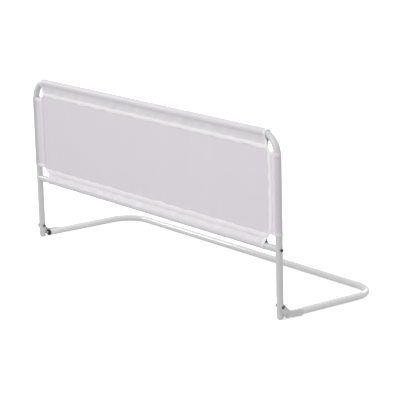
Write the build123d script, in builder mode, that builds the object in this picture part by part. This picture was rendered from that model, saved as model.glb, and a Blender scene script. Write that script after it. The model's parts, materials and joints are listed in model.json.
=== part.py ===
"""Bed guard rail: a tubular rail with a fabric mesh panel, hinged on a U-shaped base.

The base lies flat and slides under a mattress.  The rail stands upright on two pivot
bolts and folds inward, down over the base.  Millimetres, +Z up, +X along the rail,
+Y from the rail towards the back of the base.  The origin is at the bottom centre of
the whole object's box.
"""
import math
import os

from build123d import *

# ---- driving dimensions -------------------------------------------------------------
TUBE_R = 8.0            # outer radius of every steel tube
WALL = 1.2              # tube wall thickness
BASE_X = 500.0          # half the spacing of the base legs, centre to centre
PLATE_GAP = 0.3         # running gap between an upright and its hinge plate
BASE_DEPTH = 293.0      # upright centre to back bar centre
BASE_BEND = 66.0        # centreline bend radius of the base corners
RAIL_TOP = 421.0        # centre height of the top bar
RAIL_BEND = 48.0        # centreline bend radius of the rail corners
CROSSBAR_Z = 161.5      # centre height of the lower crossbar
PIVOT_Z = 31.0          # height of the hinge axis
UPRIGHT_END = 8.0       # lower end of the upright tubes, above the foot plug's dome

# ---- hinge hardware -----------------------------------------------------------------
BOLT_R = 2.2            # pivot bolt shank
BOLT_CLEAR = 0.05       # radial running clearance in the upright
BOLT_HEAD_R = 3.9
BOLT_HEAD_H = 2.9
BOLT_SOCKET_R = 1.6     # hexagon socket, across the corners
BOLT_TIP = 0.6          # thread that shows past the nut
BOLT_CHAMFER = 0.4
NUT_FLATS = 7.0         # across the flats
NUT_H = 3.2
NUT_COLLAR_R = 3.1
NUT_COLLAR_H = 1.0
NUT_ROUND = 0.5
HEAD_ROUND = 0.7        # share of a screw head's height that is domed
SOCKET_DEPTH = 0.5      # share of a head's height that the socket takes
PLATE_T = 2.4           # hinge plate thickness
PLATE_EDGE = 0.6        # rounding of the plate's outer edge
PIVOT_LOBE_R = 7.0      # plate outline round the pivot
STOP_LOBE_R = 6.8       # plate outline round the stop pin
WEB_TOP_Y = 24.6        # where the plate's sloping edge meets the top of the leg
WEB_ROUND = 7.0
STOP_PIN_R = 2.5
STOP_PIN_Z = 11.0
STOP_PIN_REACH = 15.5   # how far the stop pin reaches in from the plate's inner face
PIN_HEAD_R = 3.9
PIN_HEAD_H = 2.0
PIN_DOME = 0.75         # share of the pin head's height that is domed
PIN_CHAMFER = 0.6
RIVET_R = 2.0
RIVET_HEAD_R = 3.6
RIVET_HEAD_H = 1.1
RIVET_DOME = 0.8        # share of the rivet head's height that is domed
RIVET_TAIL_R = 2.8
RIVET_TAIL_H = 2.2
RIVET_TAIL_GAP = 0.6    # from the tube's inner wall to the bulged tail
RIVET_Y = (36.5, 52.0)  # rivet places along the leg, behind the upright's centre

# ---- tube ends ----------------------------------------------------------------------
LEG_START = 22.0        # front end of the base legs, behind the upright's centre
LEG_PLUG_DOME = 5.5     # how far a leg's end plug stands out of the tube
LEG_PLUG_STUB = 10.0
LEG_PLUG_CHAMFER = 1.0
FOOT_STUB = 14.0
FOOT_TAPER_R = 1.2      # lead-in at the top of the foot plug's stub
FOOT_TAPER_H = 2.4
FOOT_RIM = 1.6          # straight rim under the upright's end, before the dome
FOOT_FLAT_R = 3.2       # small flat that the foot plug rests on
PLUG_ROUND = 2.6        # rounding of the leg plug's outer edge

# ---- crossbar fixing ----------------------------------------------------------------
SCREW_R = 2.0
SCREW_HEAD_R = 3.3
SCREW_HEAD_H = 4.6
SCREW_SOCKET_R = 1.3    # hexagon socket, across the corners
SCREW_REACH = 36.0      # shank length under the head
INSERT_L = 18.0         # threaded insert inside each end of the crossbar
INSERT_SET_BACK = 12.0  # insert's outer end, inside the upright's centre line

# ---- fabric -------------------------------------------------------------------------
SLEEVE_R = 9.3          # outer radius of the fabric sleeves
SLEEVE_EASE = 0.5       # slack of the sleeves that reach just past the bends
FLAP_T = 1.8            # doubled fabric between a sleeve and the mesh
MESH_T = 1.0
MESH_CORNER = 12.0      # corner radius of the mesh panel
MESH_X = 468.0          # half width of the mesh panel
MESH_LOW = 190.0
MESH_HIGH = 385.0
SIDE_LOW = 190.5        # lower end of the side sleeves
SIDE_HIGH = 378.5       # upper end of the side sleeves
TOP_SLEEVE_X = 457.0    # half length of the top sleeve
LOW_SLEEVE_X = 457.0    # half length of the crossbar sleeve

# ---- derived places -----------------------------------------------------------------
RAIL_X = BASE_X - PLATE_GAP                               # upright centre
RAIL_Y = -(BASE_DEPTH + TUBE_R - SLEEVE_R) / 2            # centres the object's box on y = 0
BACK_Y = RAIL_Y + BASE_DEPTH
PLATE_IN = BASE_X + TUBE_R                                # plate's inner face
PLATE_OUT = PLATE_IN + PLATE_T
BORE_R = TUBE_R - WALL
STOP_PIN_Y = TUBE_R + PLATE_GAP + STOP_PIN_R              # just behind the upright


def save(name, solid):
    """Label one finished sub-part and write its STEP file."""
    solid.label = name
    export_step(solid, f"parts/{name}.step")


def save_pair(name, right_hand):
    """Write a right-hand sub-part and its mirror image on the left."""
    left_hand = mirror(right_hand, about=Plane.YZ)
    save(f"{name}_right", right_hand)
    save(f"{name}_left", left_hand)


def side_plane(x):
    """Plane across the X axis at x, seen with y to the right and z up from the upright's foot."""
    return Plane(origin=(x, RAIL_Y, 0), x_dir=(0, 1, 0), z_dir=(1, 0, 0))


def cross_hole(x_from, x_to, y, z, radius):
    """Cut a hole along X between two x values, at y behind the upright's centre and height z."""
    with BuildSketch(side_plane(x_from)) as section:
        with Locations((y, z)):
            Circle(radius)
    extrude(section.sketch, amount=x_to - x_from, mode=Mode.SUBTRACT)


def disc(x_from, x_to, y, z, radius):
    """Add a round bar along X between two x values."""
    with BuildSketch(side_plane(x_from)) as section:
        with Locations((y, z)):
            Circle(radius)
    extrude(section.sketch, amount=x_to - x_from)


def tube_section(line):
    """The tube's ring section, across the start of a path."""
    with BuildSketch(Plane(origin=line @ 0, z_dir=line % 0)) as ring:
        Circle(TUBE_R)
        Circle(BORE_R, mode=Mode.SUBTRACT)
    return ring.sketch


# ---- rail body ----------------------------------------------------------------------
def rail_tube():
    """One inverted U of round tube, drilled for the pivot bolts and the crossbar screws."""
    with BuildPart() as tube:
        with BuildLine() as route:
            FilletPolyline(
                (-RAIL_X, RAIL_Y, UPRIGHT_END),
                (-RAIL_X, RAIL_Y, RAIL_TOP),
                (RAIL_X, RAIL_Y, RAIL_TOP),
                (RAIL_X, RAIL_Y, UPRIGHT_END),
                radius=RAIL_BEND,
            )
        sweep(tube_section(route.line), path=route.line)
        for centre in (-RAIL_X, RAIL_X):
            low = centre - TUBE_R - 1
            high = centre + TUBE_R + 1
            cross_hole(low, high, 0, PIVOT_Z, BOLT_R + BOLT_CLEAR)
            cross_hole(low, high, 0, CROSSBAR_Z, SCREW_R)
    return tube.part


def crossbar_tube():
    """Straight lower bar, its ends coped to sit round the uprights."""
    with BuildPart() as bar:
        with BuildLine() as route:
            Line((-RAIL_X, RAIL_Y, CROSSBAR_Z), (RAIL_X, RAIL_Y, CROSSBAR_Z))
        sweep(tube_section(route.line), path=route.line)
        with BuildSketch(Plane.XY.offset(CROSSBAR_Z - 2 * TUBE_R)):
            with Locations((-RAIL_X, RAIL_Y), (RAIL_X, RAIL_Y)):
                Circle(TUBE_R)
        extrude(amount=4 * TUBE_R, mode=Mode.SUBTRACT)
    return bar.part


def crossbar_insert():
    """Threaded insert pressed into the crossbar's end, which takes the screw."""
    outer = RAIL_X - INSERT_SET_BACK
    with BuildPart() as insert:
        disc(outer - INSERT_L, outer, 0, CROSSBAR_Z, BORE_R)
        cross_hole(outer - INSERT_L - 1, outer + 1, 0, CROSSBAR_Z, SCREW_R)
    return insert.part


def crossbar_screw():
    """Button-head screw from outside the upright into the crossbar's insert."""
    under_head = RAIL_X + TUBE_R
    with BuildPart() as screw:
        disc(under_head - SCREW_REACH, under_head, 0, CROSSBAR_Z, SCREW_R)
        disc(under_head, under_head + SCREW_HEAD_H, 0, CROSSBAR_Z, SCREW_HEAD_R)
        rim = screw.faces().sort_by(Axis.X)[-1].edges()
        fillet(rim, SCREW_HEAD_R * HEAD_ROUND)
        with BuildSketch(side_plane(under_head + SCREW_HEAD_H)):
            with Locations((0, CROSSBAR_Z)):
                RegularPolygon(radius=SCREW_SOCKET_R, side_count=6)
        extrude(amount=-SCREW_HEAD_H * SOCKET_DEPTH, mode=Mode.SUBTRACT)
    return screw.part


def foot_plug():
    """Round-nosed plastic plug in the upright's lower end, with a small flat to rest on."""
    stub_r = BORE_R
    with BuildPart() as plug:
        with BuildSketch(Plane(origin=(RAIL_X, RAIL_Y, 0), x_dir=(1, 0, 0), z_dir=(0, -1, 0))):
            with BuildLine():
                Polyline(
                    (FOOT_FLAT_R, 0),
                    (0, 0),
                    (0, UPRIGHT_END + FOOT_STUB),
                    (stub_r - FOOT_TAPER_R, UPRIGHT_END + FOOT_STUB),
                    (stub_r, UPRIGHT_END + FOOT_STUB - FOOT_TAPER_H),
                    (stub_r, UPRIGHT_END),
                    (TUBE_R, UPRIGHT_END),
                    (TUBE_R, UPRIGHT_END - FOOT_RIM),
                )
                TangentArc((TUBE_R, UPRIGHT_END - FOOT_RIM), (FOOT_FLAT_R, 0), tangent=(0, -1))
            make_face()
        revolve(axis=Axis((RAIL_X, RAIL_Y, 0), (0, 0, 1)))
    return plug.part


# ---- fabric on the rail -------------------------------------------------------------
def panel_mesh():
    """Flat mesh panel between the four sleeves, with rounded corners."""
    with BuildPart() as panel:
        with BuildSketch(Plane.XZ.offset(-RAIL_Y - MESH_T / 2)):
            with Locations((0, (MESH_LOW + MESH_HIGH) / 2)):
                RectangleRounded(2 * MESH_X, MESH_HIGH - MESH_LOW, MESH_CORNER)
        extrude(amount=MESH_T)
    return panel.part


def level_sleeve(half_length, bar_z, mesh_edge, inner_r):
    """Sleeve along X round a bar, with the flap that joins it to the mesh's edge."""
    flap_from = min(bar_z, mesh_edge)
    flap_to = max(bar_z, mesh_edge)
    with BuildPart() as sleeve:
        with BuildSketch(side_plane(-half_length)):
            with Locations((0, bar_z)):
                Circle(SLEEVE_R)
            with Locations((0, (flap_from + flap_to) / 2)):
                Rectangle(FLAP_T, flap_to - flap_from)
            with Locations((0, bar_z)):
                Circle(inner_r, mode=Mode.SUBTRACT)
        extrude(amount=2 * half_length)
    return sleeve.part


def side_sleeve():
    """Upright sleeve round the right-hand upright, with the flap that joins it to the mesh."""
    flap_w = RAIL_X - MESH_X
    with BuildPart() as sleeve:
        with BuildSketch(Plane.XY.offset(SIDE_LOW)):
            with Locations((RAIL_X, RAIL_Y)):
                Circle(SLEEVE_R)
            with Locations((MESH_X + flap_w / 2, RAIL_Y)):
                Rectangle(flap_w, FLAP_T)
            with Locations((RAIL_X, RAIL_Y)):
                Circle(TUBE_R + SLEEVE_EASE, mode=Mode.SUBTRACT)
        extrude(amount=SIDE_HIGH - SIDE_LOW)
    return sleeve.part


# ---- base body ----------------------------------------------------------------------
def base_tube():
    """One U of round tube lying flat, drilled in its outer wall for the plate rivets."""
    with BuildPart() as tube:
        with BuildLine() as route:
            FilletPolyline(
                (-BASE_X, RAIL_Y + LEG_START, TUBE_R),
                (-BASE_X, BACK_Y, TUBE_R),
                (BASE_X, BACK_Y, TUBE_R),
                (BASE_X, RAIL_Y + LEG_START, TUBE_R),
                radius=BASE_BEND,
            )
        sweep(tube_section(route.line), path=route.line)
        for y in RIVET_Y:
            cross_hole(BASE_X + TUBE_R / 2, BASE_X + TUBE_R + 1, y, TUBE_R, RIVET_R)
            cross_hole(-BASE_X - TUBE_R - 1, -BASE_X - TUBE_R / 2, y, TUBE_R, RIVET_R)
    return tube.part


def leg_plane(y):
    """Plane across the right-hand base leg at y, facing backwards."""
    return Plane(origin=(BASE_X, y, TUBE_R), x_dir=(1, 0, 0), z_dir=(0, 1, 0))


def base_end_plug():
    """Black domed plug in the front end of a base leg."""
    nose = RAIL_Y + LEG_START - LEG_PLUG_DOME
    with BuildPart() as plug:
        with BuildSketch(leg_plane(nose)):
            Circle(TUBE_R)
        extrude(amount=LEG_PLUG_DOME)
        fillet(plug.faces().sort_by(Axis.Y)[0].edges(), PLUG_ROUND)
        with BuildSketch(leg_plane(nose + LEG_PLUG_DOME)):
            Circle(BORE_R)
        extrude(amount=LEG_PLUG_STUB)
        chamfer(plug.faces().sort_by(Axis.Y)[-1].edges(), LEG_PLUG_CHAMFER)
    return plug.part


def plate_lobe(places):
    """Convex outline round a few circles, each (y, z, radius)."""
    with BuildSketch() as lobe:
        for y, z, radius in places:
            with Locations((y, z)):
                Circle(radius)
        make_hull()
    return lobe.sketch


def hinge_plate():
    """Pressed plate on the outside of the leg, carrying the pivot bolt and the stop pin."""
    pivot_lobe = (0, PIVOT_Z, PIVOT_LOBE_R)
    stop_lobe = (STOP_PIN_Y, STOP_PIN_Z, STOP_LOBE_R)
    rear_lobe = (RIVET_Y[-1], TUBE_R, TUBE_R)
    shoulder = PIVOT_LOBE_R * math.cos(math.radians(45))
    with BuildPart() as plate:
        with BuildSketch(side_plane(PLATE_IN)):
            add(plate_lobe((pivot_lobe, stop_lobe)))
            add(plate_lobe((stop_lobe, rear_lobe)))
            with BuildLine():
                Polyline(
                    (0, PIVOT_Z),
                    (shoulder, PIVOT_Z + shoulder),
                    (WEB_TOP_Y, 2 * TUBE_R),
                    (WEB_TOP_Y, TUBE_R),
                    (STOP_PIN_Y, STOP_PIN_Z),
                    close=True,
                )
            make_face()
        extrude(amount=PLATE_T)
        web_corner = (PLATE_IN, RAIL_Y + WEB_TOP_Y, 2 * TUBE_R)
        fillet(plate.edges().filter_by(Axis.X).sort_by_distance(web_corner)[0], WEB_ROUND)
        cross_hole(PLATE_IN - 1, PLATE_OUT + 1, 0, PIVOT_Z, BOLT_R)
        cross_hole(PLATE_IN - 1, PLATE_OUT + 1, STOP_PIN_Y, STOP_PIN_Z, STOP_PIN_R)
        for y in RIVET_Y:
            cross_hole(PLATE_IN - 1, PLATE_OUT + 1, y, TUBE_R, RIVET_R)
        fillet(plate.faces().sort_by(Axis.X)[-1].outer_wire().edges(), PLATE_EDGE)
    return plate.part


def pivot_bolt():
    """Domed bolt through the plate and the upright, on which the rail turns."""
    inner_end = RAIL_X - TUBE_R - PLATE_GAP - NUT_H - NUT_COLLAR_H - BOLT_TIP
    with BuildPart() as bolt:
        disc(inner_end, PLATE_OUT, 0, PIVOT_Z, BOLT_R)
        chamfer(bolt.faces().sort_by(Axis.X)[0].edges(), BOLT_CHAMFER)
        disc(PLATE_OUT, PLATE_OUT + BOLT_HEAD_H, 0, PIVOT_Z, BOLT_HEAD_R)
        rim = bolt.faces().sort_by(Axis.X)[-1].edges()
        fillet(rim, BOLT_HEAD_H * HEAD_ROUND)
        with BuildSketch(side_plane(PLATE_OUT + BOLT_HEAD_H)):
            with Locations((0, PIVOT_Z)):
                RegularPolygon(radius=BOLT_SOCKET_R, side_count=6)
        extrude(amount=-BOLT_HEAD_H * SOCKET_DEPTH, mode=Mode.SUBTRACT)
    return bolt.part


def pivot_nut():
    """Locking nut on the inner side of the upright."""
    face = RAIL_X - TUBE_R - PLATE_GAP
    with BuildPart() as nut:
        with BuildSketch(side_plane(face - NUT_H)):
            with Locations((0, PIVOT_Z)):
                RegularPolygon(radius=NUT_FLATS / 2, side_count=6, major_radius=False)
        extrude(amount=NUT_H)
        disc(face - NUT_H - NUT_COLLAR_H, face - NUT_H, 0, PIVOT_Z, NUT_COLLAR_R)
        fillet(nut.faces().sort_by(Axis.X)[0].edges(), NUT_ROUND)
        cross_hole(face - NUT_H - NUT_COLLAR_H - 1, face + 1, 0, PIVOT_Z, BOLT_R)
    return nut.part


def stop_pin():
    """Headed pin across the back of the upright's foot, which stops the rail leaning outward."""
    with BuildPart() as pin:
        disc(PLATE_IN - STOP_PIN_REACH, PLATE_OUT, STOP_PIN_Y, STOP_PIN_Z, STOP_PIN_R)
        chamfer(pin.faces().sort_by(Axis.X)[0].edges(), PIN_CHAMFER)
        disc(PLATE_OUT, PLATE_OUT + PIN_HEAD_H, STOP_PIN_Y, STOP_PIN_Z, PIN_HEAD_R)
        fillet(pin.faces().sort_by(Axis.X)[-1].edges(), PIN_HEAD_H * PIN_DOME)
    return pin.part


def plate_rivet(y):
    """Blind rivet through the plate and the leg's outer wall."""
    tail_top = BASE_X + TUBE_R - WALL - RIVET_TAIL_GAP
    with BuildPart() as rivet:
        disc(tail_top, PLATE_OUT, y, TUBE_R, RIVET_R)
        disc(tail_top - RIVET_TAIL_H, tail_top, y, TUBE_R, RIVET_TAIL_R)
        disc(PLATE_OUT, PLATE_OUT + RIVET_HEAD_H, y, TUBE_R, RIVET_HEAD_R)
        fillet(rivet.faces().sort_by(Axis.X)[-1].edges(), RIVET_HEAD_H * RIVET_DOME)
    return rivet.part


# ---- write every sub-part -----------------------------------------------------------
os.makedirs("parts", exist_ok=True)

save("rail_tube", rail_tube())
save("crossbar_tube", crossbar_tube())
save_pair("crossbar_insert", crossbar_insert())
save_pair("crossbar_screw", crossbar_screw())
save_pair("foot_plug", foot_plug())
save("panel_mesh", panel_mesh())
save("sleeve_top", level_sleeve(TOP_SLEEVE_X, RAIL_TOP, MESH_HIGH, TUBE_R + SLEEVE_EASE))
save("sleeve_bottom", level_sleeve(LOW_SLEEVE_X, CROSSBAR_Z, MESH_LOW, TUBE_R))
save_pair("sleeve_side", side_sleeve())

save("base_tube", base_tube())
save_pair("base_end_plug", base_end_plug())
save_pair("hinge_plate", hinge_plate())
save_pair("pivot_bolt", pivot_bolt())
save_pair("pivot_nut", pivot_nut())
save_pair("stop_pin", stop_pin())
save_pair("plate_rivet_front", plate_rivet(RIVET_Y[0]))
save_pair("plate_rivet_rear", plate_rivet(RIVET_Y[1]))
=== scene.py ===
"""Looks for the folding bed guard: powder-coated tubes, a net panel in woven sleeves, hinges.

Metres throughout, in the CAD's own frame: +X along the rail, +Y towards the back of the base,
+Z up.  Each sheet's "cloth" coordinates are metres along and across it.
"""
import json
import math
import random

import bpy
import numpy as np
from mathutils import Matrix, Vector


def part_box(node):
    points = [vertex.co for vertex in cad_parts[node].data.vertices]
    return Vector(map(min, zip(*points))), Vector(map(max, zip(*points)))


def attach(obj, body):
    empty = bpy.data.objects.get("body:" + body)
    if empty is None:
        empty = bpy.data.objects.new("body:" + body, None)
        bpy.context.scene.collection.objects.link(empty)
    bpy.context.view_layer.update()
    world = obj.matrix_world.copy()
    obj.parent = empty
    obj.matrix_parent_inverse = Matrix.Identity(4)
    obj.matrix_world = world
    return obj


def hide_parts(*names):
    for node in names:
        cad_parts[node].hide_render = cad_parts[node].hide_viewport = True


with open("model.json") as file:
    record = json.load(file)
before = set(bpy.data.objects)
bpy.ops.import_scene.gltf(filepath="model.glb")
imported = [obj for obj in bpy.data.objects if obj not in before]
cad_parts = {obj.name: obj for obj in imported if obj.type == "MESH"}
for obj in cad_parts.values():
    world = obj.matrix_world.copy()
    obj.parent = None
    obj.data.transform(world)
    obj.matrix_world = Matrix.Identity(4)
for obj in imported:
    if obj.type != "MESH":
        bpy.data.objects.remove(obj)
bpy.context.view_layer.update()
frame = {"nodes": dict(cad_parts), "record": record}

MM = 0.001

# ---- places read from the CAD --------------------------------------------------------
TUBE_R = 8 * MM
RAIL_LOW, RAIL_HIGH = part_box("rail_tube")
MESH_LOW, MESH_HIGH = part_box("panel_mesh")
BAR_LOW, BAR_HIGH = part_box("crossbar_tube")
RAIL_Y = (RAIL_LOW[1] + RAIL_HIGH[1]) / 2    # plane of the rail's tubes
RAIL_X = RAIL_HIGH[0] - TUBE_R               # upright's centre
RAIL_TOP = RAIL_HIGH[2] - TUBE_R             # top bar's centre
RAIL_BEND = 48 * MM                          # centreline radius of the rail's corners
BAR_Z = (BAR_LOW[2] + BAR_HIGH[2]) / 2       # crossbar's centre
PANEL_X = MESH_HIGH[0]                       # half width of the net that shows
PANEL_LOW, PANEL_HIGH = MESH_LOW[2], MESH_HIGH[2]

# ---- sizes of the sleeves ------------------------------------------------------------
CLOTH_T = 0.6 * MM             # thickness of the woven cloth
SLEEVE_R = TUBE_R + 0.3 * MM   # inside of a sleeve where it lies round its tube
LEAVE_ANGLE = 56               # degrees round the tube where a sleeve's two layers leave it
CROSSBAR_LEAVE = 67            # the crossbar's sleeve runs straighter, so it leaves further round
SEAM_GAP = 0.3 * MM            # half the gap that holds the net between the two layers
PARTING_GAP = 0.42 * MM        # half the gap where the layers part
FLAT_W = 9.4 * MM              # the layers lie flat together this far from the seam
FLAT_PULL, TUBE_PULL = 0.3, 0.34   # how far it runs on straight from the flat and from the tube
FLAP_POINTS, ROUND_POINTS = 17, 33     # points on one layer's free flap, and round the tube
ROW_STEP = 3.4 * MM            # between rows of points along a sleeve
TOP_END = 465 * MM             # open ends, from the middle of the rail or from the floor
LOW_END = 457 * MM
SIDE_LOW = 190.5 * MM
SIDE_HIGH = 381 * MM
END_ZONE = 60 * MM             # how far in the ends' lean and the short seams' puckers reach
HEM_W = 9 * MM                 # turned hem at an open end
HEM_RISE = 0.35 * MM
HEM_ROLL = 0.5 * MM            # how far its rolled edge turns in
HEM_ROWS = np.array([0, 0.7, 1.6, 3.0, 4.6, 6.0, 6.6, 7.2, 7.9, 8.8, 9.6, 10.6, 12.0]) * MM
GROOVE = 0.28 * MM             # depth that stitches pull into the hem
END_FLARE = 0.06 * MM          # how far a sleeve's mouth stands off the tube
EASE = 0.12 * MM               # uneven slack round the tube
SEAM_TUCK = 5 * MM             # how far an end is tucked in under the border's corner
CREASE_RISE = 0.9 * MM         # pressed fold along part of a sleeve
CREASE_ANGLE = 62              # degrees round the tube from the sleeve's flap
CREASE_W = 7                   # the fold's half width in degrees
FLAP_RIPPLE = 0.75 * MM        # puckers on the flap between the tube and the border

# ---- sizes of the panel, its border and the stitches ---------------------------------
NET_T = 0.5 * MM
NET_HIDDEN = 2.5 * MM          # how far the net runs on under the border
NET_GRID = (300, 72)           # points along it and up it
BORDER_IN = 0.8 * MM           # how far the stitched border covers the net's edge
BORDER_OUT = 9.4 * MM          # how far it reaches out onto the sleeves
BORDER_T = 3.2 * MM
BORDER_CORNER = 12 * MM        # corner radius of the net that shows
CORNER_NARROW = 0.42           # share of its width that the border loses in a corner
BORDER_SEW_IN = 1.9 * MM       # its two stitch lines, from its edges
SEWN_INNER, SEWN_OUTER = 0.84, 0.75   # its height under them, as a share of its half thickness
SEAM_WANDER = 1.3 * MM         # how far the border strays from a straight line
PUCKER = 0.8 * MM              # puckers along the seams, drawn out of the cloth's plane
PUCKER_LENGTHS = (0.04, 0.12)
SWELL = 0.5 * MM               # broad swells over the middle of the net
SWELL_LENGTHS = (0.25, 0.6)
STITCH_IN = 6.6 * MM           # hem's stitch line, from the sleeve's end
STITCH_PITCH = 3.6 * MM
STITCH_L = 2.6 * MM
STITCH_R = 0.28 * MM
STITCH_SUNK = 0.05 * MM        # how far a hem's stitches sit in the cloth
STITCH_SKEW = 0.06             # how far a stitch may turn off its line

RNG = random.Random(7)


# ---- small helpers -------------------------------------------------------------------
def smooth_step(x, low, high):
    t = np.clip((x - low) / (high - low), 0.0, 1.0)
    return t * t * (3 - 2 * t)


def waves(x, seed, lengths):
    """A smooth wandering line: a few sines with seeded lengths and phases, about -1 to 1."""
    r = random.Random(seed)
    count = 5
    total = np.zeros_like(np.asarray(x, float))
    for _ in range(count):
        turns = x / r.uniform(*lengths)
        total = total + np.sin(2 * np.pi * turns + r.uniform(0, 2 * np.pi)) * r.uniform(0.5, 1.0)
    return total / (0.75 * count) * 1.6


def running_length(points):
    """Distance along a line of points, from 0 at its start."""
    steps = np.linalg.norm(np.diff(points, axis=0), axis=1)
    return np.concatenate([[0.0], np.cumsum(steps)])


def ring_faces(rings, around):
    """Faces between closed rings of points."""
    faces = []
    for i in range(rings - 1):
        here, above = i * around, (i + 1) * around
        for k in range(around):
            n = (k + 1) % around
            faces.append((here + k, here + n, above + n, above + k))
    return faces


def new_object(name, verts, faces, uvs=None):
    mesh = bpy.data.meshes.new(name)
    mesh.from_pydata([tuple(v) for v in verts], [], faces)
    mesh.update()
    if uvs is not None:
        layer = mesh.uv_layers.new(name="cloth")
        for loop in mesh.loops:
            layer.data[loop.index].uv = uvs[loop.vertex_index]
    for poly in mesh.polygons:
        poly.use_smooth = True
    obj = bpy.data.objects.new(name, mesh)
    bpy.context.scene.collection.objects.link(obj)
    return obj


def grid_object(name, points, uvs, closed=False):
    """A sheet from an array of points [i, j, 3], with cloth coordinates [i, j, 2].

    A closed one also joins its last j to its first.
    """
    ni, nj = points.shape[:2]
    faces = []
    for i in range(ni - 1):
        for j in range(nj if closed else nj - 1):
            k = (j + 1) % nj
            faces.append((i * nj + j, (i + 1) * nj + j, (i + 1) * nj + k, i * nj + k))
    return new_object(name, points.reshape(-1, 3), faces, uvs.reshape(-1, 2))


def thicken(obj, thickness, offset):
    mod = obj.modifiers.new("thickness", "SOLIDIFY")
    mod.thickness = thickness
    mod.offset = offset
    mod.use_even_offset = False


def give(obj, *materials):
    obj.data.materials.clear()
    for material in materials:
        obj.data.materials.append(material)


# ---- materials -----------------------------------------------------------------------
class Graph:
    """Short calls for the kinds of node used here, all in one node tree."""

    def __init__(self, tree):
        self.nodes, self.links = tree.nodes, tree.links

    def feed(self, node, inputs):
        """Each input is another node's output, a number, or a colour as three numbers."""
        for key, value in inputs.items():
            if isinstance(value, bpy.types.NodeSocket):
                self.links.new(value, node.inputs[key])
            elif isinstance(value, tuple):
                node.inputs[key].default_value = (*value, 1)
            else:
                node.inputs[key].default_value = value

    def add(self, kind, inputs, **settings):
        node = self.nodes.new("ShaderNode" + kind)
        for key, value in settings.items():
            setattr(node, key, value)
        self.feed(node, inputs)
        return node

    def coordinates(self, kind):
        return self.add("TexCoord", {}).outputs[kind]

    def split(self, vector):
        return tuple(self.add("SeparateXYZ", {"Vector": vector}).outputs)

    def noise(self, at, scale, detail, rough=0.5):
        inputs = {"Vector": at, "Scale": scale, "Detail": detail, "Roughness": rough}
        return self.add("TexNoise", inputs).outputs["Fac"]

    def remap(self, value, low, high, to_low=0.0, to_high=1.0):
        inputs = {"Value": value, "From Min": low, "From Max": high,
                  "To Min": to_low, "To Max": to_high}
        return self.add("MapRange", inputs).outputs["Result"]

    def maths(self, operation, *values):
        return self.add("Math", dict(enumerate(values)), operation=operation).outputs[0]

    def blend(self, factor, first, second, kind="MIX"):
        inputs = {"Factor": factor, "A": first, "B": second}
        return self.add("Mix", inputs, data_type="RGBA", blend_type=kind).outputs["Result"]


class Look(Graph):
    """A new material, with the calls that only its shader needs."""

    def __init__(self, name):
        self.material = bpy.data.materials.new(name)
        self.material.use_nodes = True
        super().__init__(self.material.node_tree)
        self.shader = self.nodes["Principled BSDF"]
        self.relief = {}

    def set(self, inputs):
        self.feed(self.shader, inputs)

    def cloth_coordinates(self):
        return self.add("UVMap", {}, uv_map="cloth").outputs["UV"]

    def bump(self, height, distance, strength):
        """Relief on top of any that was added before."""
        inputs = {"Height": height, "Distance": distance, "Strength": strength}
        node = self.add("Bump", inputs | self.relief)
        self.relief = {"Normal": node.outputs["Normal"]}
        self.set(self.relief)


def powder_coat(name, first, second, roughness=0.32, peel=0.16):
    """Sprayed and baked polyester powder: fine orange peel, faint clouds and handling marks."""
    look = Look(name)
    at = look.coordinates("Object")
    cloud = look.noise(at, 9.0, 4.0)
    rub = look.noise(at, 55.0, 5.0, 0.65)
    look.set({
        "Base Color": look.blend(cloud, first, second),
        "Roughness": look.remap(rub, 0.3, 0.7, roughness - 0.07, roughness + 0.09),
        "Coat Weight": 0.9,
        "Coat Roughness": 0.14,
        "Coat IOR": 1.6,
    })
    look.bump(look.noise(at, 520.0, 2.0), 0.25 * MM, peel)
    look.bump(look.noise(at, 1400.0, 2.0), 0.08 * MM, peel)
    return look.material


def plain_weave(name, first, second, pitch):
    """Plain-woven polyester: over-and-under threads, slubs, and a soft sheen.

    Over the tubes the colour is multiplied darker: painted shade for the thin cloth with the grey
    tube behind it.
    """
    look = Look(name)
    uv = look.cloth_coordinates()
    along, across, _ = look.split(uv)
    turn = math.pi / pitch
    warp = look.maths("SINE", look.maths("MULTIPLY", along, turn))
    weft = look.maths("SINE", look.maths("MULTIPLY", across, turn))
    over = look.maths("MULTIPLY", warp, weft)
    ridge = look.maths("MAXIMUM", look.maths("ABSOLUTE", warp), look.maths("ABSOLUTE", weft))
    weave = look.maths("ADD", look.maths("MULTIPLY", over, 0.35), ridge)
    slub = look.noise(uv, 420.0, 3.0)
    cloud = look.noise(uv, 26.0, 4.0)
    uneven = look.maths("ADD", slub, cloud)
    shade = look.maths("ADD", look.maths("MULTIPLY", weave, 0.35),
                       look.maths("MULTIPLY", uneven, 0.35))
    cloth = look.blend(look.remap(shade, 0.35, 0.95), first, second)
    # Painted shade: where the tube lies behind the cloth, its colour is multiplied by a darker
    # grey.
    tube_shade_mask = look.add("Attribute", {}, attribute_name="painted_tube_shade").outputs["Fac"]
    look.set({
        "Base Color": look.blend(tube_shade_mask, cloth, (0.72, 0.735, 0.73), "MULTIPLY"),
        "Roughness": 0.76,
        "Coat Weight": 0.18,
        "Coat Roughness": 0.2,
        "Sheen Weight": 0.35,
        "Sheen Roughness": 0.45,
    })
    look.bump(weave, 0.16 * MM, 0.55)
    look.bump(slub, 0.12 * MM, 0.35)
    return look.material


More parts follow.
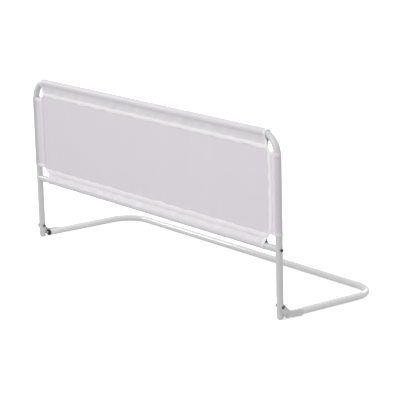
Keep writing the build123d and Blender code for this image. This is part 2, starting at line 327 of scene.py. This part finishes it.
def net_mesh(name, thread, pore, pitch):
    """Fine knitted net: staggered rows of small pores between rounded threads."""
    look = Look(name)
    uv = look.cloth_coordinates()
    along, across, _ = look.split(uv)
    turn = math.pi / pitch
    x, y = look.maths("MULTIPLY", along, turn), look.maths("MULTIPLY", across, turn)
    rising = look.maths("COSINE", look.maths("ADD", x, y))
    falling = look.maths("COSINE", look.maths("SUBTRACT", x, y))
    cell = look.maths("ABSOLUTE", look.maths("MULTIPLY", rising, falling))
    open_part = look.remap(cell, 0.55, 0.9)
    cloud = look.noise(uv, 11.0, 4.0)
    yarn = look.noise(uv, 900.0, 2.0)
    uneven = look.maths("ADD", cloud, yarn)
    tone = look.maths("ADD", look.maths("MULTIPLY", open_part, 0.75),
                      look.maths("MULTIPLY", uneven, 0.12))
    look.set({
        "Base Color": look.blend(tone, thread, pore),
        "Roughness": 0.78,
        "Sheen Weight": 0.25,
        "Sheen Roughness": 0.5,
    })
    look.bump(look.maths("SUBTRACT", 1.0, cell), 0.22 * MM, 0.6)
    look.bump(yarn, 0.08 * MM, 0.4)
    return look.material


def moulded_plastic(name, colour, lighter, roughness):
    """Moulded plastic, and the smooth sewing thread: faint clouds and a fine grain."""
    look = Look(name)
    at = look.coordinates("Object")
    cloud = look.noise(at, 60.0, 4.0)
    look.set({
        "Base Color": look.blend(cloud, colour, lighter),
        "Roughness": look.remap(cloud, 0.3, 0.7, roughness - 0.06, roughness + 0.08),
    })
    look.bump(look.noise(at, 1900.0, 2.0), 0.06 * MM, 0.4)
    return look.material


def fastener_metal(name, colour, lighter, roughness, metallic):
    """Plated or blackened steel: fine grain, worn lighter where it has been handled."""
    look = Look(name)
    at = look.coordinates("Object")
    wear = look.noise(at, 350.0, 5.0, 0.7)
    look.set({
        "Base Color": look.blend(look.remap(wear, 0.45, 0.75), colour, lighter),
        "Roughness": look.remap(wear, 0.3, 0.7, roughness - 0.08, roughness + 0.1),
        "Metallic": metallic,
    })
    look.bump(look.noise(at, 2400.0, 2.0), 0.04 * MM, 0.35)
    return look.material


RAIL_STEEL = powder_coat("rail_powder_coat", (0.58, 0.583, 0.59), (0.64, 0.643, 0.65))
# Painted light: the base's tubes have the rail's white powder coat, but this copy is painted
# lighter for the extra light they get low down near the floor.
LIGHTER_BASE_STEEL = powder_coat("base_powder_coat_painted_light", (0.72, 0.72, 0.727), (0.79, 0.79, 0.797))
PLATE_STEEL = powder_coat("plate_powder_coat", (0.62, 0.615, 0.625), (0.69, 0.685, 0.695),
                          roughness=0.38, peel=0.22)
WHITE_CLOTH = plain_weave("white_plain_weave", (0.69, 0.665, 0.695), (0.79, 0.765, 0.80),
                          pitch=0.55 * MM)
BORDER_CLOTH = plain_weave("white_border_weave", (0.80, 0.775, 0.795), (0.91, 0.885, 0.905),
                           pitch=0.5 * MM)
NET = net_mesh("lilac_grey_net", thread=(0.75, 0.70, 0.757), pore=(0.60, 0.555, 0.605),
               pitch=1.5 * MM)
THREAD = moulded_plastic("sewing_thread", (0.80, 0.79, 0.81), (0.90, 0.89, 0.90), 0.6)
WHITE_PLASTIC = moulded_plastic("white_plastic", (0.64, 0.64, 0.65), (0.70, 0.70, 0.71), 0.36)
BLACK_PLASTIC = moulded_plastic("black_plastic", (0.010, 0.010, 0.011), (0.02, 0.02, 0.021), 0.32)
INSERT_PLASTIC = moulded_plastic("insert_plastic", (0.45, 0.45, 0.45), (0.5, 0.5, 0.5), 0.5)
BLACK_STEEL = fastener_metal("black_oxide_steel", (0.035, 0.035, 0.038), (0.12, 0.12, 0.125),
                             roughness=0.36, metallic=0.85)
PIVOT_STEEL = fastener_metal("dark_zinc", (0.15, 0.147, 0.153), (0.26, 0.255, 0.265),
                             roughness=0.42, metallic=0.4)
BRIGHT_STEEL = fastener_metal("bright_zinc", (0.58, 0.585, 0.60), (0.72, 0.72, 0.73),
                              roughness=0.33, metallic=0.8)

BY_SLOT = {
    "white_steel": RAIL_STEEL,
    "plate_steel": PLATE_STEEL,
    "dark_fastener": BLACK_STEEL,
    "bright_fastener": BRIGHT_STEEL,
    "black_plastic": BLACK_PLASTIC,
    "white_plastic": WHITE_PLASTIC,
    "insert_plastic": INSERT_PLASTIC,
    "mesh_fabric": NET,
    "white_fabric": WHITE_CLOTH,
}
BY_NODE = {
    # the base's tube takes the lighter copy with painted light
    "base_tube": LIGHTER_BASE_STEEL,
    "pivot_bolt_left": PIVOT_STEEL,
    "pivot_bolt_right": PIVOT_STEEL,
    "pivot_nut_left": PIVOT_STEEL,
    "pivot_nut_right": PIVOT_STEEL,
}


def finish_cad_nodes():
    """Every CAD node takes the detailed material of its record slot, or one of its own; the base's
    tube takes a copy of the rail's powder coat painted lighter.
    """
    for part in frame["record"]["subparts"]:
        node = frame["nodes"][part["node"]]
        material = BY_NODE.get(part["node"], BY_SLOT[part["material_slot"]])
        for place in node.material_slots:
            place.material = material


# ---- stitching -----------------------------------------------------------------------
def stitch_prototype():
    """One stitch: a short thread, thin at both ends, which dip into the cloth."""
    rings, around = 5, 5
    verts = []
    for i in range(rings):
        t = i / (rings - 1)
        size = STITCH_R * math.sin(math.pi * (0.12 + 0.76 * t)) ** 0.6
        rise = STITCH_R * math.sin(math.pi * t)
        for k in range(around):
            angle = 2 * math.pi * k / around
            verts.append((STITCH_L * (t - 0.5), size * math.cos(angle),
                          rise + size * math.sin(angle)))
    first_end = tuple(range(around))
    last_end = tuple(range((rings - 1) * around, rings * around))[::-1]
    return verts, ring_faces(rings, around) + [first_end, last_end]


def sew(name, lines):
    """Lays stitches along lines of (point, normal), all in one object."""
    proto, proto_faces = stitch_prototype()
    verts, faces = [], []
    for line in lines:
        points = [Vector(p) for p, _ in line]
        normals = [Vector(n) for _, n in line]
        lengths = [0.0]
        for p, q in zip(points, points[1:]):
            lengths.append(lengths[-1] + (q - p).length)
        k = 0
        for s in range(int(lengths[-1] / STITCH_PITCH)):
            at = (s + 0.5) * STITCH_PITCH
            while k < len(lengths) - 2 and lengths[k + 1] < at:
                k += 1
            share = (at - lengths[k]) / max(lengths[k + 1] - lengths[k], 1e-9)
            centre = points[k].lerp(points[k + 1], share)
            up = normals[k].lerp(normals[k + 1], share).normalized()
            ahead = (points[k + 1] - points[k]).normalized()
            side = up.cross(ahead).normalized()
            ahead = (ahead + side * RNG.uniform(-STITCH_SKEW, STITCH_SKEW)).normalized()
            side = up.cross(ahead).normalized()
            base = len(verts)
            verts.extend(centre + ahead * x + side * y + up * z for x, y, z in proto)
            faces.extend(tuple(base + v for v in face) for face in proto_faces)
    obj = new_object(name, verts, faces)
    give(obj, THREAD)
    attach(obj, "rail")


# ---- fabric: the sleeves round the tubes ---------------------------------------------
def panel_bow(x, z):
    """How far the stretched cloth stands off its plane, towards the back.

    Puckers run out from its four seams, and faint swells lie between them.
    """
    across = np.clip((z - PANEL_LOW) / (PANEL_HIGH - PANEL_LOW), 0, 1)
    upper, lower = across ** 3, (1 - across) ** 3
    left = np.clip(1 - (x + PANEL_X) / END_ZONE, 0, 1)
    right = np.clip(1 - (PANEL_X - x) / END_ZONE, 0, 1)
    long_seams = upper * waves(x, 71, PUCKER_LENGTHS) + lower * waves(x, 83, PUCKER_LENGTHS)
    short_seams = left * waves(z, 61, PUCKER_LENGTHS) + right * waves(z, 67, PUCKER_LENGTHS)
    swell = np.sin(np.pi * across) * waves(x + 0.4 * z, 77, SWELL_LENGTHS)
    return PUCKER * (long_seams + 0.6 * short_seams) + SWELL * swell


def sleeve_section(reach, leave_angle):
    """The sleeve's inner outline as (a, b): from the seam round the tube and back to the seam.

    a runs from the tube's centre towards the seam and b towards the front.  The two layers lie
    together under the stitched border, then part and meet the tube's sides without a corner.
    """
    leave = math.radians(leave_angle)
    seam = np.array([reach, SEAM_GAP])
    parting = np.array([reach - FLAT_W, PARTING_GAP])
    tube = SLEEVE_R * np.array([math.cos(leave), math.sin(leave)])
    gap = np.linalg.norm(tube - parting)
    flat_handle = parting - np.array([FLAT_PULL * gap, 0.0])
    tube_handle = tube + TUBE_PULL * gap * np.array([math.sin(leave), -math.cos(leave)])
    front = [seam, (seam * 2 + parting) / 3, (seam + parting * 2) / 3]
    for t in np.linspace(0, 1, FLAP_POINTS)[:-1]:
        front.append((1 - t) ** 3 * parting + 3 * (1 - t) ** 2 * t * flat_handle
                     + 3 * (1 - t) * t ** 2 * tube_handle + t ** 3 * tube)
    rounds = [SLEEVE_R * np.array([math.cos(angle), math.sin(angle)])
              for angle in np.linspace(leave, 2 * math.pi - leave, ROUND_POINTS)]
    back = [p * np.array([1, -1]) for p in front[::-1]]
    return np.array(front + rounds + back)


def section_normals(section):
    along = np.gradient(section, axis=0)
    normal = np.stack([along[:, 1], -along[:, 0]], axis=1)
    normal /= np.linalg.norm(normal, axis=1)[:, None]
    middle = len(section) // 2
    return normal if normal[middle] @ section[middle] > 0 else -normal


class Sleeve:
    """A woven sleeve: its section carried along a tube, hemmed at both open ends.

    centre gives the tube's centre in x and z at a place along it, towards points from there to
    the seam, and span is the sleeve's two ends.  reach is the distance from centre to seam, and
    lean how far each end is set in on the tube's far side.  shade is how strongly painted shade
    darkens the cloth over its tube, and crease where along the tube a pressed fold fades out, if
    there is one.
    """

    def __init__(self, centre, towards, span, reach, lean, seed, shade,
                 crease=None, leave_angle=LEAVE_ANGLE):
        self.centre, self.towards, self.span = centre, towards, span
        self.length = span[1] - span[0]
        self.reach, self.lean, self.seed = reach, lean, seed
        self.shade, self.crease = shade, crease
        self.section = sleeve_section(reach, leave_angle)
        self.normal = section_normals(self.section)
        self.arc = running_length(self.section)

    def hem(self, from_end):
        """Height of the turned hem over the plain cloth, with its rolled edge and sewn groove."""
        turned = 1 - smooth_step(from_end, HEM_W - 0.9 * MM, HEM_W + 0.3 * MM)
        rolled = 1 - smooth_step(from_end, 0.0, 1.4 * MM)
        sewn = np.exp(-((from_end - STITCH_IN) / (0.7 * MM)) ** 2)
        return HEM_RISE * turned - HEM_ROLL * rolled - GROOVE * sewn

    def slack(self, angle, place, from_end, far):
        """How far the cloth stands off its tube: its mouth's flare and an uneven ease."""
        mouth = 1 - smooth_step(from_end, 0, HEM_W)
        flare = END_FLARE * mouth * (1 + 0.6 * waves(angle * 0.01, self.seed + 3, (0.012, 0.03)))
        return flare + EASE * (1 + waves(place + 0.02 * far, self.seed + 9, (0.05, 0.18)))

    def fold(self, angle, place):
        """Height of the pressed fold, which fades out along the sleeve."""
        if self.crease is None:
            return 0.0
        ridge = np.exp(-((np.degrees(angle) - CREASE_ANGLE) / CREASE_W) ** 2)
        fading = 1 - smooth_step(place, self.crease - 0.15, self.crease + 0.1)
        return CREASE_RISE * ridge * fading * (1 + 0.3 * waves(place, self.seed + 2, (0.02, 0.09)))

    def ripple(self, a, b, place):
        """Puckers across the free flap, not quite alike on the two layers."""
        free = (smooth_step(a, SLEEVE_R * 0.55, SLEEVE_R + 5 * MM)
                * (1 - smooth_step(a, self.reach - 13 * MM, self.reach - FLAT_W)))
        shared = waves(place + 0.5 * a, self.seed, (0.03, 0.09))
        own = np.sign(b) * waves(place - 0.6 * a, self.seed + 5, (0.016, 0.045))
        return FLAP_RIPPLE * free * (shared + 0.5 * own)

    def surface(self, along, extra=0.0):
        """Points [along, section, 3] at distances along from the low end, lifted by extra.

        Also gives each point's place along the tube.
        """
        t = np.asarray(along, float)[:, None]
        a, b = self.section[:, 0][None, :], self.section[:, 1][None, :]
        na, nb = self.normal[:, 0][None, :], self.normal[:, 1][None, :]
        angle = np.arctan2(b, a)
        from_end = np.minimum(t, self.length - t)
        far = (self.reach - a) / (self.reach + SLEEVE_R)
        on_tube = 1 - smooth_step(a, SLEEVE_R * 0.3, SLEEVE_R + 3 * MM)

        low_half = t < self.length / 2
        at_seam = smooth_step(a, self.reach - 11 * MM, self.reach - 1 * MM)
        drawn_in = np.where(low_half, *self.lean) * far + SEAM_TUCK * at_seam
        near_end = smooth_step(1 - from_end / END_ZONE, 0, 1)
        place = self.span[0] + t + np.where(low_half, 1.0, -1.0) * drawn_in * near_end

        lift = (extra + self.hem(from_end) + on_tube * self.slack(angle, place, from_end, far)
                + self.fold(angle, place))
        # The rows cross a bend aslant, so the section widens there to go round the tube.
        middle = self.centre(place)
        ahead, behind = self.centre(place + MM), self.centre(place - MM)
        slant = np.hypot(ahead[0] - behind[0], ahead[1] - behind[1]) / (2 * MM)
        out = a * (1 + (slant - 1) * on_tube) + na * lift
        x = middle[0] + self.towards[0] * out
        z = middle[1] + self.towards[1] * out
        with_panel = smooth_step(a, SLEEVE_R * 0.4, self.reach - FLAT_W)
        y = RAIL_Y - (b + nb * lift) - self.ripple(a, b, place) + with_panel * panel_bow(x, z)
        return np.stack(np.broadcast_arrays(x, y, z), axis=2), place

    def build(self, name, node):
        length = self.length
        first, last = HEM_ROWS[-1] + 2 * MM, length - HEM_ROWS[-1] - 2 * MM
        rows = np.linspace(first, last, int(length / ROW_STEP))
        along = np.concatenate([HEM_ROWS, rows, length - HEM_ROWS[::-1]])
        points, place = self.surface(along)
        girth = np.broadcast_to(self.arc[None, :], place.shape)
        obj = grid_object(name, points, np.stack([place, girth], axis=2))
        thicken(obj, CLOTH_T, 1.0)
        # Painted shade over the tube: each point's weight is the sleeve's shade where the cloth
        # lies on its tube.
        tube_shade_mask = obj.data.attributes.new("painted_tube_shade", "FLOAT", "POINT")
        on_tube = 1 - smooth_step(self.section[:, 0], SLEEVE_R * 0.35, SLEEVE_R + 2.5 * MM)
        tube_shade_mask.data.foreach_set("value", np.tile(self.shade * on_tube, len(along)))
        give(obj, WHITE_CLOTH, BORDER_CLOTH)
        per_row = len(self.section) - 1
        for poly in obj.data.polygons:
            row = poly.index // per_row
            middle = (along[row] + along[row + 1]) / 2
            poly.material_index = int(min(middle, length - middle) < HEM_W - 0.4 * MM)
        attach(obj, "rail")
        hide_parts(node)

    def hem_line(self, from_low):
        """A hem's stitch line, as (point, normal) pairs on the cloth's outer face."""
        on = self.surface([from_low], CLOTH_T - STITCH_SUNK)[0][0]
        off = self.surface([from_low], CLOTH_T + 1 * MM)[0][0]
        seen = self.section[:, 0] <= self.reach - FLAT_W * 0.9
        return [(tuple(p), tuple(q - p)) for p, q, shows in zip(on, off, seen) if shows]

    def hem_lines(self):
        return [self.hem_line(STITCH_IN), self.hem_line(self.length - STITCH_IN)]


def bend_drop(past):
    """How far a tube has turned off its straight, past the start of a corner bend."""
    past = np.clip(past, 0, RAIL_BEND)
    return RAIL_BEND - np.sqrt(RAIL_BEND ** 2 - past ** 2)


def top_centre(x):
    return x, RAIL_TOP - bend_drop(np.abs(x) - (RAIL_X - RAIL_BEND))


def crossbar_centre(x):
    return x, BAR_Z


def side_centre(sign):
    return lambda z: (sign * (RAIL_X - bend_drop(z - (RAIL_TOP - RAIL_BEND))), z)


def make_sleeves():
    side_reach = RAIL_X - PANEL_X
    # shade sets how strongly each sleeve's cloth is painted darker over its tube (painted shade).
    plan = (
        ("top_sleeve_cloth", "sleeve_top", Sleeve(
            top_centre, towards=(0, -1), span=(-TOP_END, TOP_END), reach=RAIL_TOP - PANEL_HIGH,
            lean=(-3 * MM, -3 * MM), seed=11, shade=0.45)),
        ("crossbar_sleeve_cloth", "sleeve_bottom", Sleeve(
            crossbar_centre, towards=(0, 1), span=(-LOW_END, LOW_END), reach=PANEL_LOW - BAR_Z,
            lean=(6 * MM, 4 * MM), seed=23, shade=0.35, crease=0.0, leave_angle=CROSSBAR_LEAVE)),
        ("left_sleeve_cloth", "sleeve_side_left", Sleeve(
            side_centre(-1), towards=(1, 0), span=(SIDE_LOW, SIDE_HIGH - 2 * MM), reach=side_reach,
            lean=(6 * MM, 0.0), seed=31, shade=1.0)),
        ("right_sleeve_cloth", "sleeve_side_right", Sleeve(
            side_centre(1), towards=(-1, 0), span=(SIDE_LOW, SIDE_HIGH), reach=side_reach,
            lean=(1 * MM, -2 * MM), seed=43, shade=0.5)),
    )
    lines = []
    for name, node, sleeve in plan:
        sleeve.build(name, node)
        lines += sleeve.hem_lines()
    sew("hem_stitching", lines)


# ---- fabric: net panel and its stitched border ---------------------------------------
def rounded_loop(half_x, low_z, high_z, radius):
    """Closed outline of a rounded rectangle in x and z, anticlockwise as seen from the front."""
    per_corner, step = 16, 5 * MM
    right, left = half_x - radius, -half_x + radius
    low, high = low_z + radius, high_z - radius
    loop = []
    for cx, cz, start in ((right, low, -90), (right, high, 0), (left, high, 90), (left, low, 180)):
        for k in range(per_corner + 1):
            angle = math.radians(start + 90 * k / per_corner)
            loop.append((cx + radius * math.cos(angle), cz + radius * math.sin(angle)))
    filled = []
    for p, q in zip(loop, loop[1:] + loop[:1]):
        parts = max(1, int(math.dist(p, q) / step))
        for k in range(parts):
            filled.append((p[0] + (q[0] - p[0]) * k / parts, p[1] + (q[1] - p[1]) * k / parts))
    return np.array(filled)


def make_panel():
    """The stretched net, with its corners rounded so that the border hides them."""
    xs = np.linspace(-PANEL_X - NET_HIDDEN, PANEL_X + NET_HIDDEN, NET_GRID[0])
    zs = np.linspace(PANEL_LOW - NET_HIDDEN, PANEL_HIGH + NET_HIDDEN, NET_GRID[1])
    x, z = np.meshgrid(xs, zs, indexing="ij")
    radius = BORDER_CORNER + NET_HIDDEN
    middle_z = (PANEL_LOW + PANEL_HIGH) / 2
    straight_x, straight_z = xs[-1] - radius, zs[-1] - middle_z - radius
    over_x = np.maximum(np.abs(x) - straight_x, 0)
    over_z = np.maximum(np.abs(z - middle_z) - straight_z, 0)
    in_corner = (over_x > 0) & (over_z > 0)
    pull = np.maximum(over_x, over_z) / np.hypot(over_x, over_z + 1e-12)
    x = np.where(in_corner, np.sign(x) * (straight_x + over_x * pull), x)
    z = np.where(in_corner, middle_z + np.sign(z - middle_z) * (straight_z + over_z * pull), z)
    points = np.stack([x, RAIL_Y + panel_bow(x, z), z], axis=2)
    obj = grid_object("net_panel", points, np.stack([x, z], axis=2))
    thicken(obj, NET_T, 0.0)
    give(obj, NET)
    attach(obj, "rail")
    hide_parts("panel_mesh")


class Border:
    """The folded tape stitched all round the net, over the sleeves' inner edges."""
    WIDTH = BORDER_IN + BORDER_OUT

    def __init__(self):
        self.inner = rounded_loop(PANEL_X - BORDER_IN, PANEL_LOW + BORDER_IN,
                                  PANEL_HIGH - BORDER_IN, BORDER_CORNER)
        d = np.roll(self.inner, -1, axis=0) - np.roll(self.inner, 1, axis=0)
        self.out = np.stack([d[:, 1], -d[:, 0]], axis=1)
        self.out /= np.linalg.norm(self.out, axis=1)[:, None]
        self.run = running_length(np.vstack([self.inner, self.inner[:1]]))

    def place(self, across):
        """x and z of the line this far across from the tape's inner edge, wandering as seams do."""
        corner = np.abs(self.out[:, 0] * self.out[:, 1]) * 2
        at = self.inner[:, 0] + 1.7 * self.inner[:, 1]
        drift = waves(at, 91, (0.05, 0.14)) + 0.4 * waves(at, 97, (0.018, 0.045))
        wander = SEAM_WANDER * drift * (1 - corner) * (1 - 0.6 * across / self.WIDTH)
        moved = across * (1 - CORNER_NARROW * corner) + wander
        return self.inner[:, 0] + self.out[:, 0] * moved, self.inner[:, 1] + self.out[:, 1] * moved

    def profile(self):
        """Front half of its outline as (across, height), with two sewn grooves."""
        w, h, sewn = self.WIDTH, BORDER_T / 2, BORDER_SEW_IN
        return [(0.0, 0.35 * h), (0.15 * MM, 0.78 * h), (0.6 * MM, h),
                (1.3 * MM, 0.97 * h), (sewn, SEWN_INNER * h), (2.5 * MM, 0.98 * h),
                (0.35 * w, 1.05 * h), (0.5 * w, 1.04 * h), (0.65 * w, 0.95 * h),
                (w - 2.6 * MM, 0.85 * h), (w - sewn, SEWN_OUTER * h), (w - 1.3 * MM, 0.73 * h),
                (w - 0.6 * MM, 0.64 * h), (w, 0.56 * h)]

    def stitch_lines(self):
        seams = ((BORDER_SEW_IN, SEWN_INNER), (self.WIDTH - BORDER_SEW_IN, SEWN_OUTER))
        lines = []
        for across, height in seams:
            x, z = self.place(across)
            x, z = np.append(x, x[0]), np.append(z, z[0])
            for face in (-1, 1):
                y = RAIL_Y + panel_bow(x, z) + face * BORDER_T / 2 * height
                lines.append([(point, (0, face, 0)) for point in zip(x, y, z)])
        return lines

    def build(self):
        half = self.profile()
        ring = half + [(a, -h) for a, h in reversed(half)]
        n, m = len(self.inner), len(ring)
        points, uvs = np.zeros((n + 1, m, 3)), np.zeros((n + 1, m, 2))
        for j, (across, height) in enumerate(ring):
            x, z = self.place(across)
            points[:n, j] = np.stack([x, RAIL_Y + panel_bow(x, z) - height, z], axis=1)
        points[n] = points[0]
        uvs[:, :, 0] = self.run[:, None]
        uvs[:, :, 1] = running_length(np.array(ring))[None, :]
        obj = grid_object("stitched_border", points, uvs, closed=True)
        give(obj, BORDER_CLOTH, WHITE_CLOTH)
        duller = self.inner[:, 0] < -PANEL_X + 6 * MM      # its left side is given the sleeves' duller cloth
        for poly in obj.data.polygons:
            poly.material_index = int(duller[poly.index // m % n])
        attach(obj, "rail")
        sew("border_stitching", self.stitch_lines())


# ---- studio --------------------------------------------------------------------------
FLOOR_HALF = 30.0                        # half the floor's side
DOME_R = 28.0
DOME_SUNK = 0.5                          # how far the dome's rim is below the floor
WORLD_BELOW, WORLD_ABOVE = 0.53, 0.83    # the room's light from straight below and above
# Each softbox: name, place, aim, width, depth, watts.
SOFTBOXES = (
    ("front_softbox", (0.5, RAIL_Y - 1.6, 1.15), (0.1, RAIL_Y, 0.25), 1.3, 0.9, 10.0),
    ("key_softbox", (-2.8, RAIL_Y - 1.2, 1.75), (0, RAIL_Y, 0.2), 1.1, 0.5, 22.0),
    ("overhead_strip", (0.0, -0.1, 2.1), (0, 0, 0.2), 2.6, 0.12, 4.0),
    ("back_softbox", (-0.4, 2.2, 1.2), (0, 0, 0.2), 1.6, 0.9, 10.0),
)
CAMERA_PLACE = (3.4553, RAIL_Y - 2.4039, 1.1870)
CAMERA_ANGLES = (53.47, 13.41, -1.54)    # degrees: azimuth from the front, elevation, roll
LENS, SENSOR = 160.1, 36.0               # millimetres


def glowing_matte(name, grey, roughness, specular, glow):
    """A matte surface with enough light of its own to stay as pale as a studio sweep."""
    look = Look(name)
    look.set({
        "Base Color": (grey, grey, grey),
        "Roughness": roughness,
        "Specular IOR Level": specular,
        "Emission Color": (1.0, 1.0, 1.0),
        "Emission Strength": glow,
    })
    return look.material


def make_floor():
    far = FLOOR_HALF
    floor = new_object("floor", [(-far, -far, 0), (far, -far, 0), (far, far, 0), (-far, far, 0)],
                       [(0, 1, 2, 3)])
    give(floor, glowing_matte("pale_floor", grey=0.93, roughness=0.9, specular=0.1, glow=0.42))
    floor.visible_diffuse = False
    floor.visible_glossy = False


def make_backdrop():
    """A plain white dome beyond the floor, which neither lights nor shades the object."""
    rings, around = 12, 48
    verts = []
    for i in range(rings):
        lift = math.pi / 2 * i / rings
        wide, high = DOME_R * math.cos(lift), DOME_R * math.sin(lift) - DOME_SUNK
        for k in range(around):
            turn = 2 * math.pi * k / around
            verts.append((wide * math.cos(turn), wide * math.sin(turn), high))
    top = tuple(range((rings - 1) * around, rings * around))
    dome = new_object("backdrop", verts, ring_faces(rings, around) + [top])
    give(dome, glowing_matte("white_backdrop", grey=0.0, roughness=0.5, specular=0.0, glow=1.2))
    for ray in ("visible_diffuse", "visible_glossy", "visible_transmission", "visible_shadow"):
        setattr(dome, ray, False)


def make_world():
    """Soft room light: brightest overhead and dimmer from below."""
    world = bpy.data.worlds.new("studio")
    bpy.context.scene.world = world
    world.use_nodes = True
    graph = Graph(world.node_tree)
    height = graph.split(graph.coordinates("Generated"))[2]
    graph.feed(graph.nodes["Background"], {
        "Color": (1.0, 1.0, 1.0),
        "Strength": graph.remap(height, -1.0, 1.0, WORLD_BELOW, WORLD_ABOVE),
    })


def make_lights():
    """Softboxes in front, far left and behind, and a strip overhead for the tubes' highlights."""
    for name, place, aim, width, depth, watts in SOFTBOXES:
        data = bpy.data.lights.new(name, "AREA")
        data.shape = "RECTANGLE"
        data.size, data.size_y, data.energy = width, depth, watts
        lamp = bpy.data.objects.new(name, data)
        bpy.context.scene.collection.objects.link(lamp)
        lamp.location = place
        lamp.rotation_mode = "QUATERNION"
        lamp.rotation_quaternion = (Vector(place) - Vector(aim)).to_track_quat("Z", "Y")


def make_camera():
    """A long lens from the front right, a little above the rail, with a slight roll."""
    azimuth, elevation, roll = map(math.radians, CAMERA_ANGLES)
    level = math.cos(elevation)
    back = Vector((math.sin(azimuth) * level, -math.cos(azimuth) * level, math.sin(elevation)))
    right = (-back).cross(Vector((0, 0, 1))).normalized()
    up = right.cross(-back)
    right, up = (math.cos(roll) * right + math.sin(roll) * up,
                 -math.sin(roll) * right + math.cos(roll) * up)
    data = bpy.data.cameras.new("camera")
    data.lens, data.sensor_width = LENS, SENSOR
    data.clip_start, data.clip_end = 0.1, 100
    camera = bpy.data.objects.new("camera", data)
    bpy.context.scene.collection.objects.link(camera)
    turn = Matrix((right, up, back)).transposed().to_4x4()
    camera.matrix_world = Matrix.Translation(CAMERA_PLACE) @ turn
    bpy.context.scene.camera = camera


finish_cad_nodes()
make_panel()
Border().build()
make_sleeves()
make_floor()
make_backdrop()
make_world()
make_lights()
make_camera()
bpy.context.scene.view_settings.view_transform = "Standard"
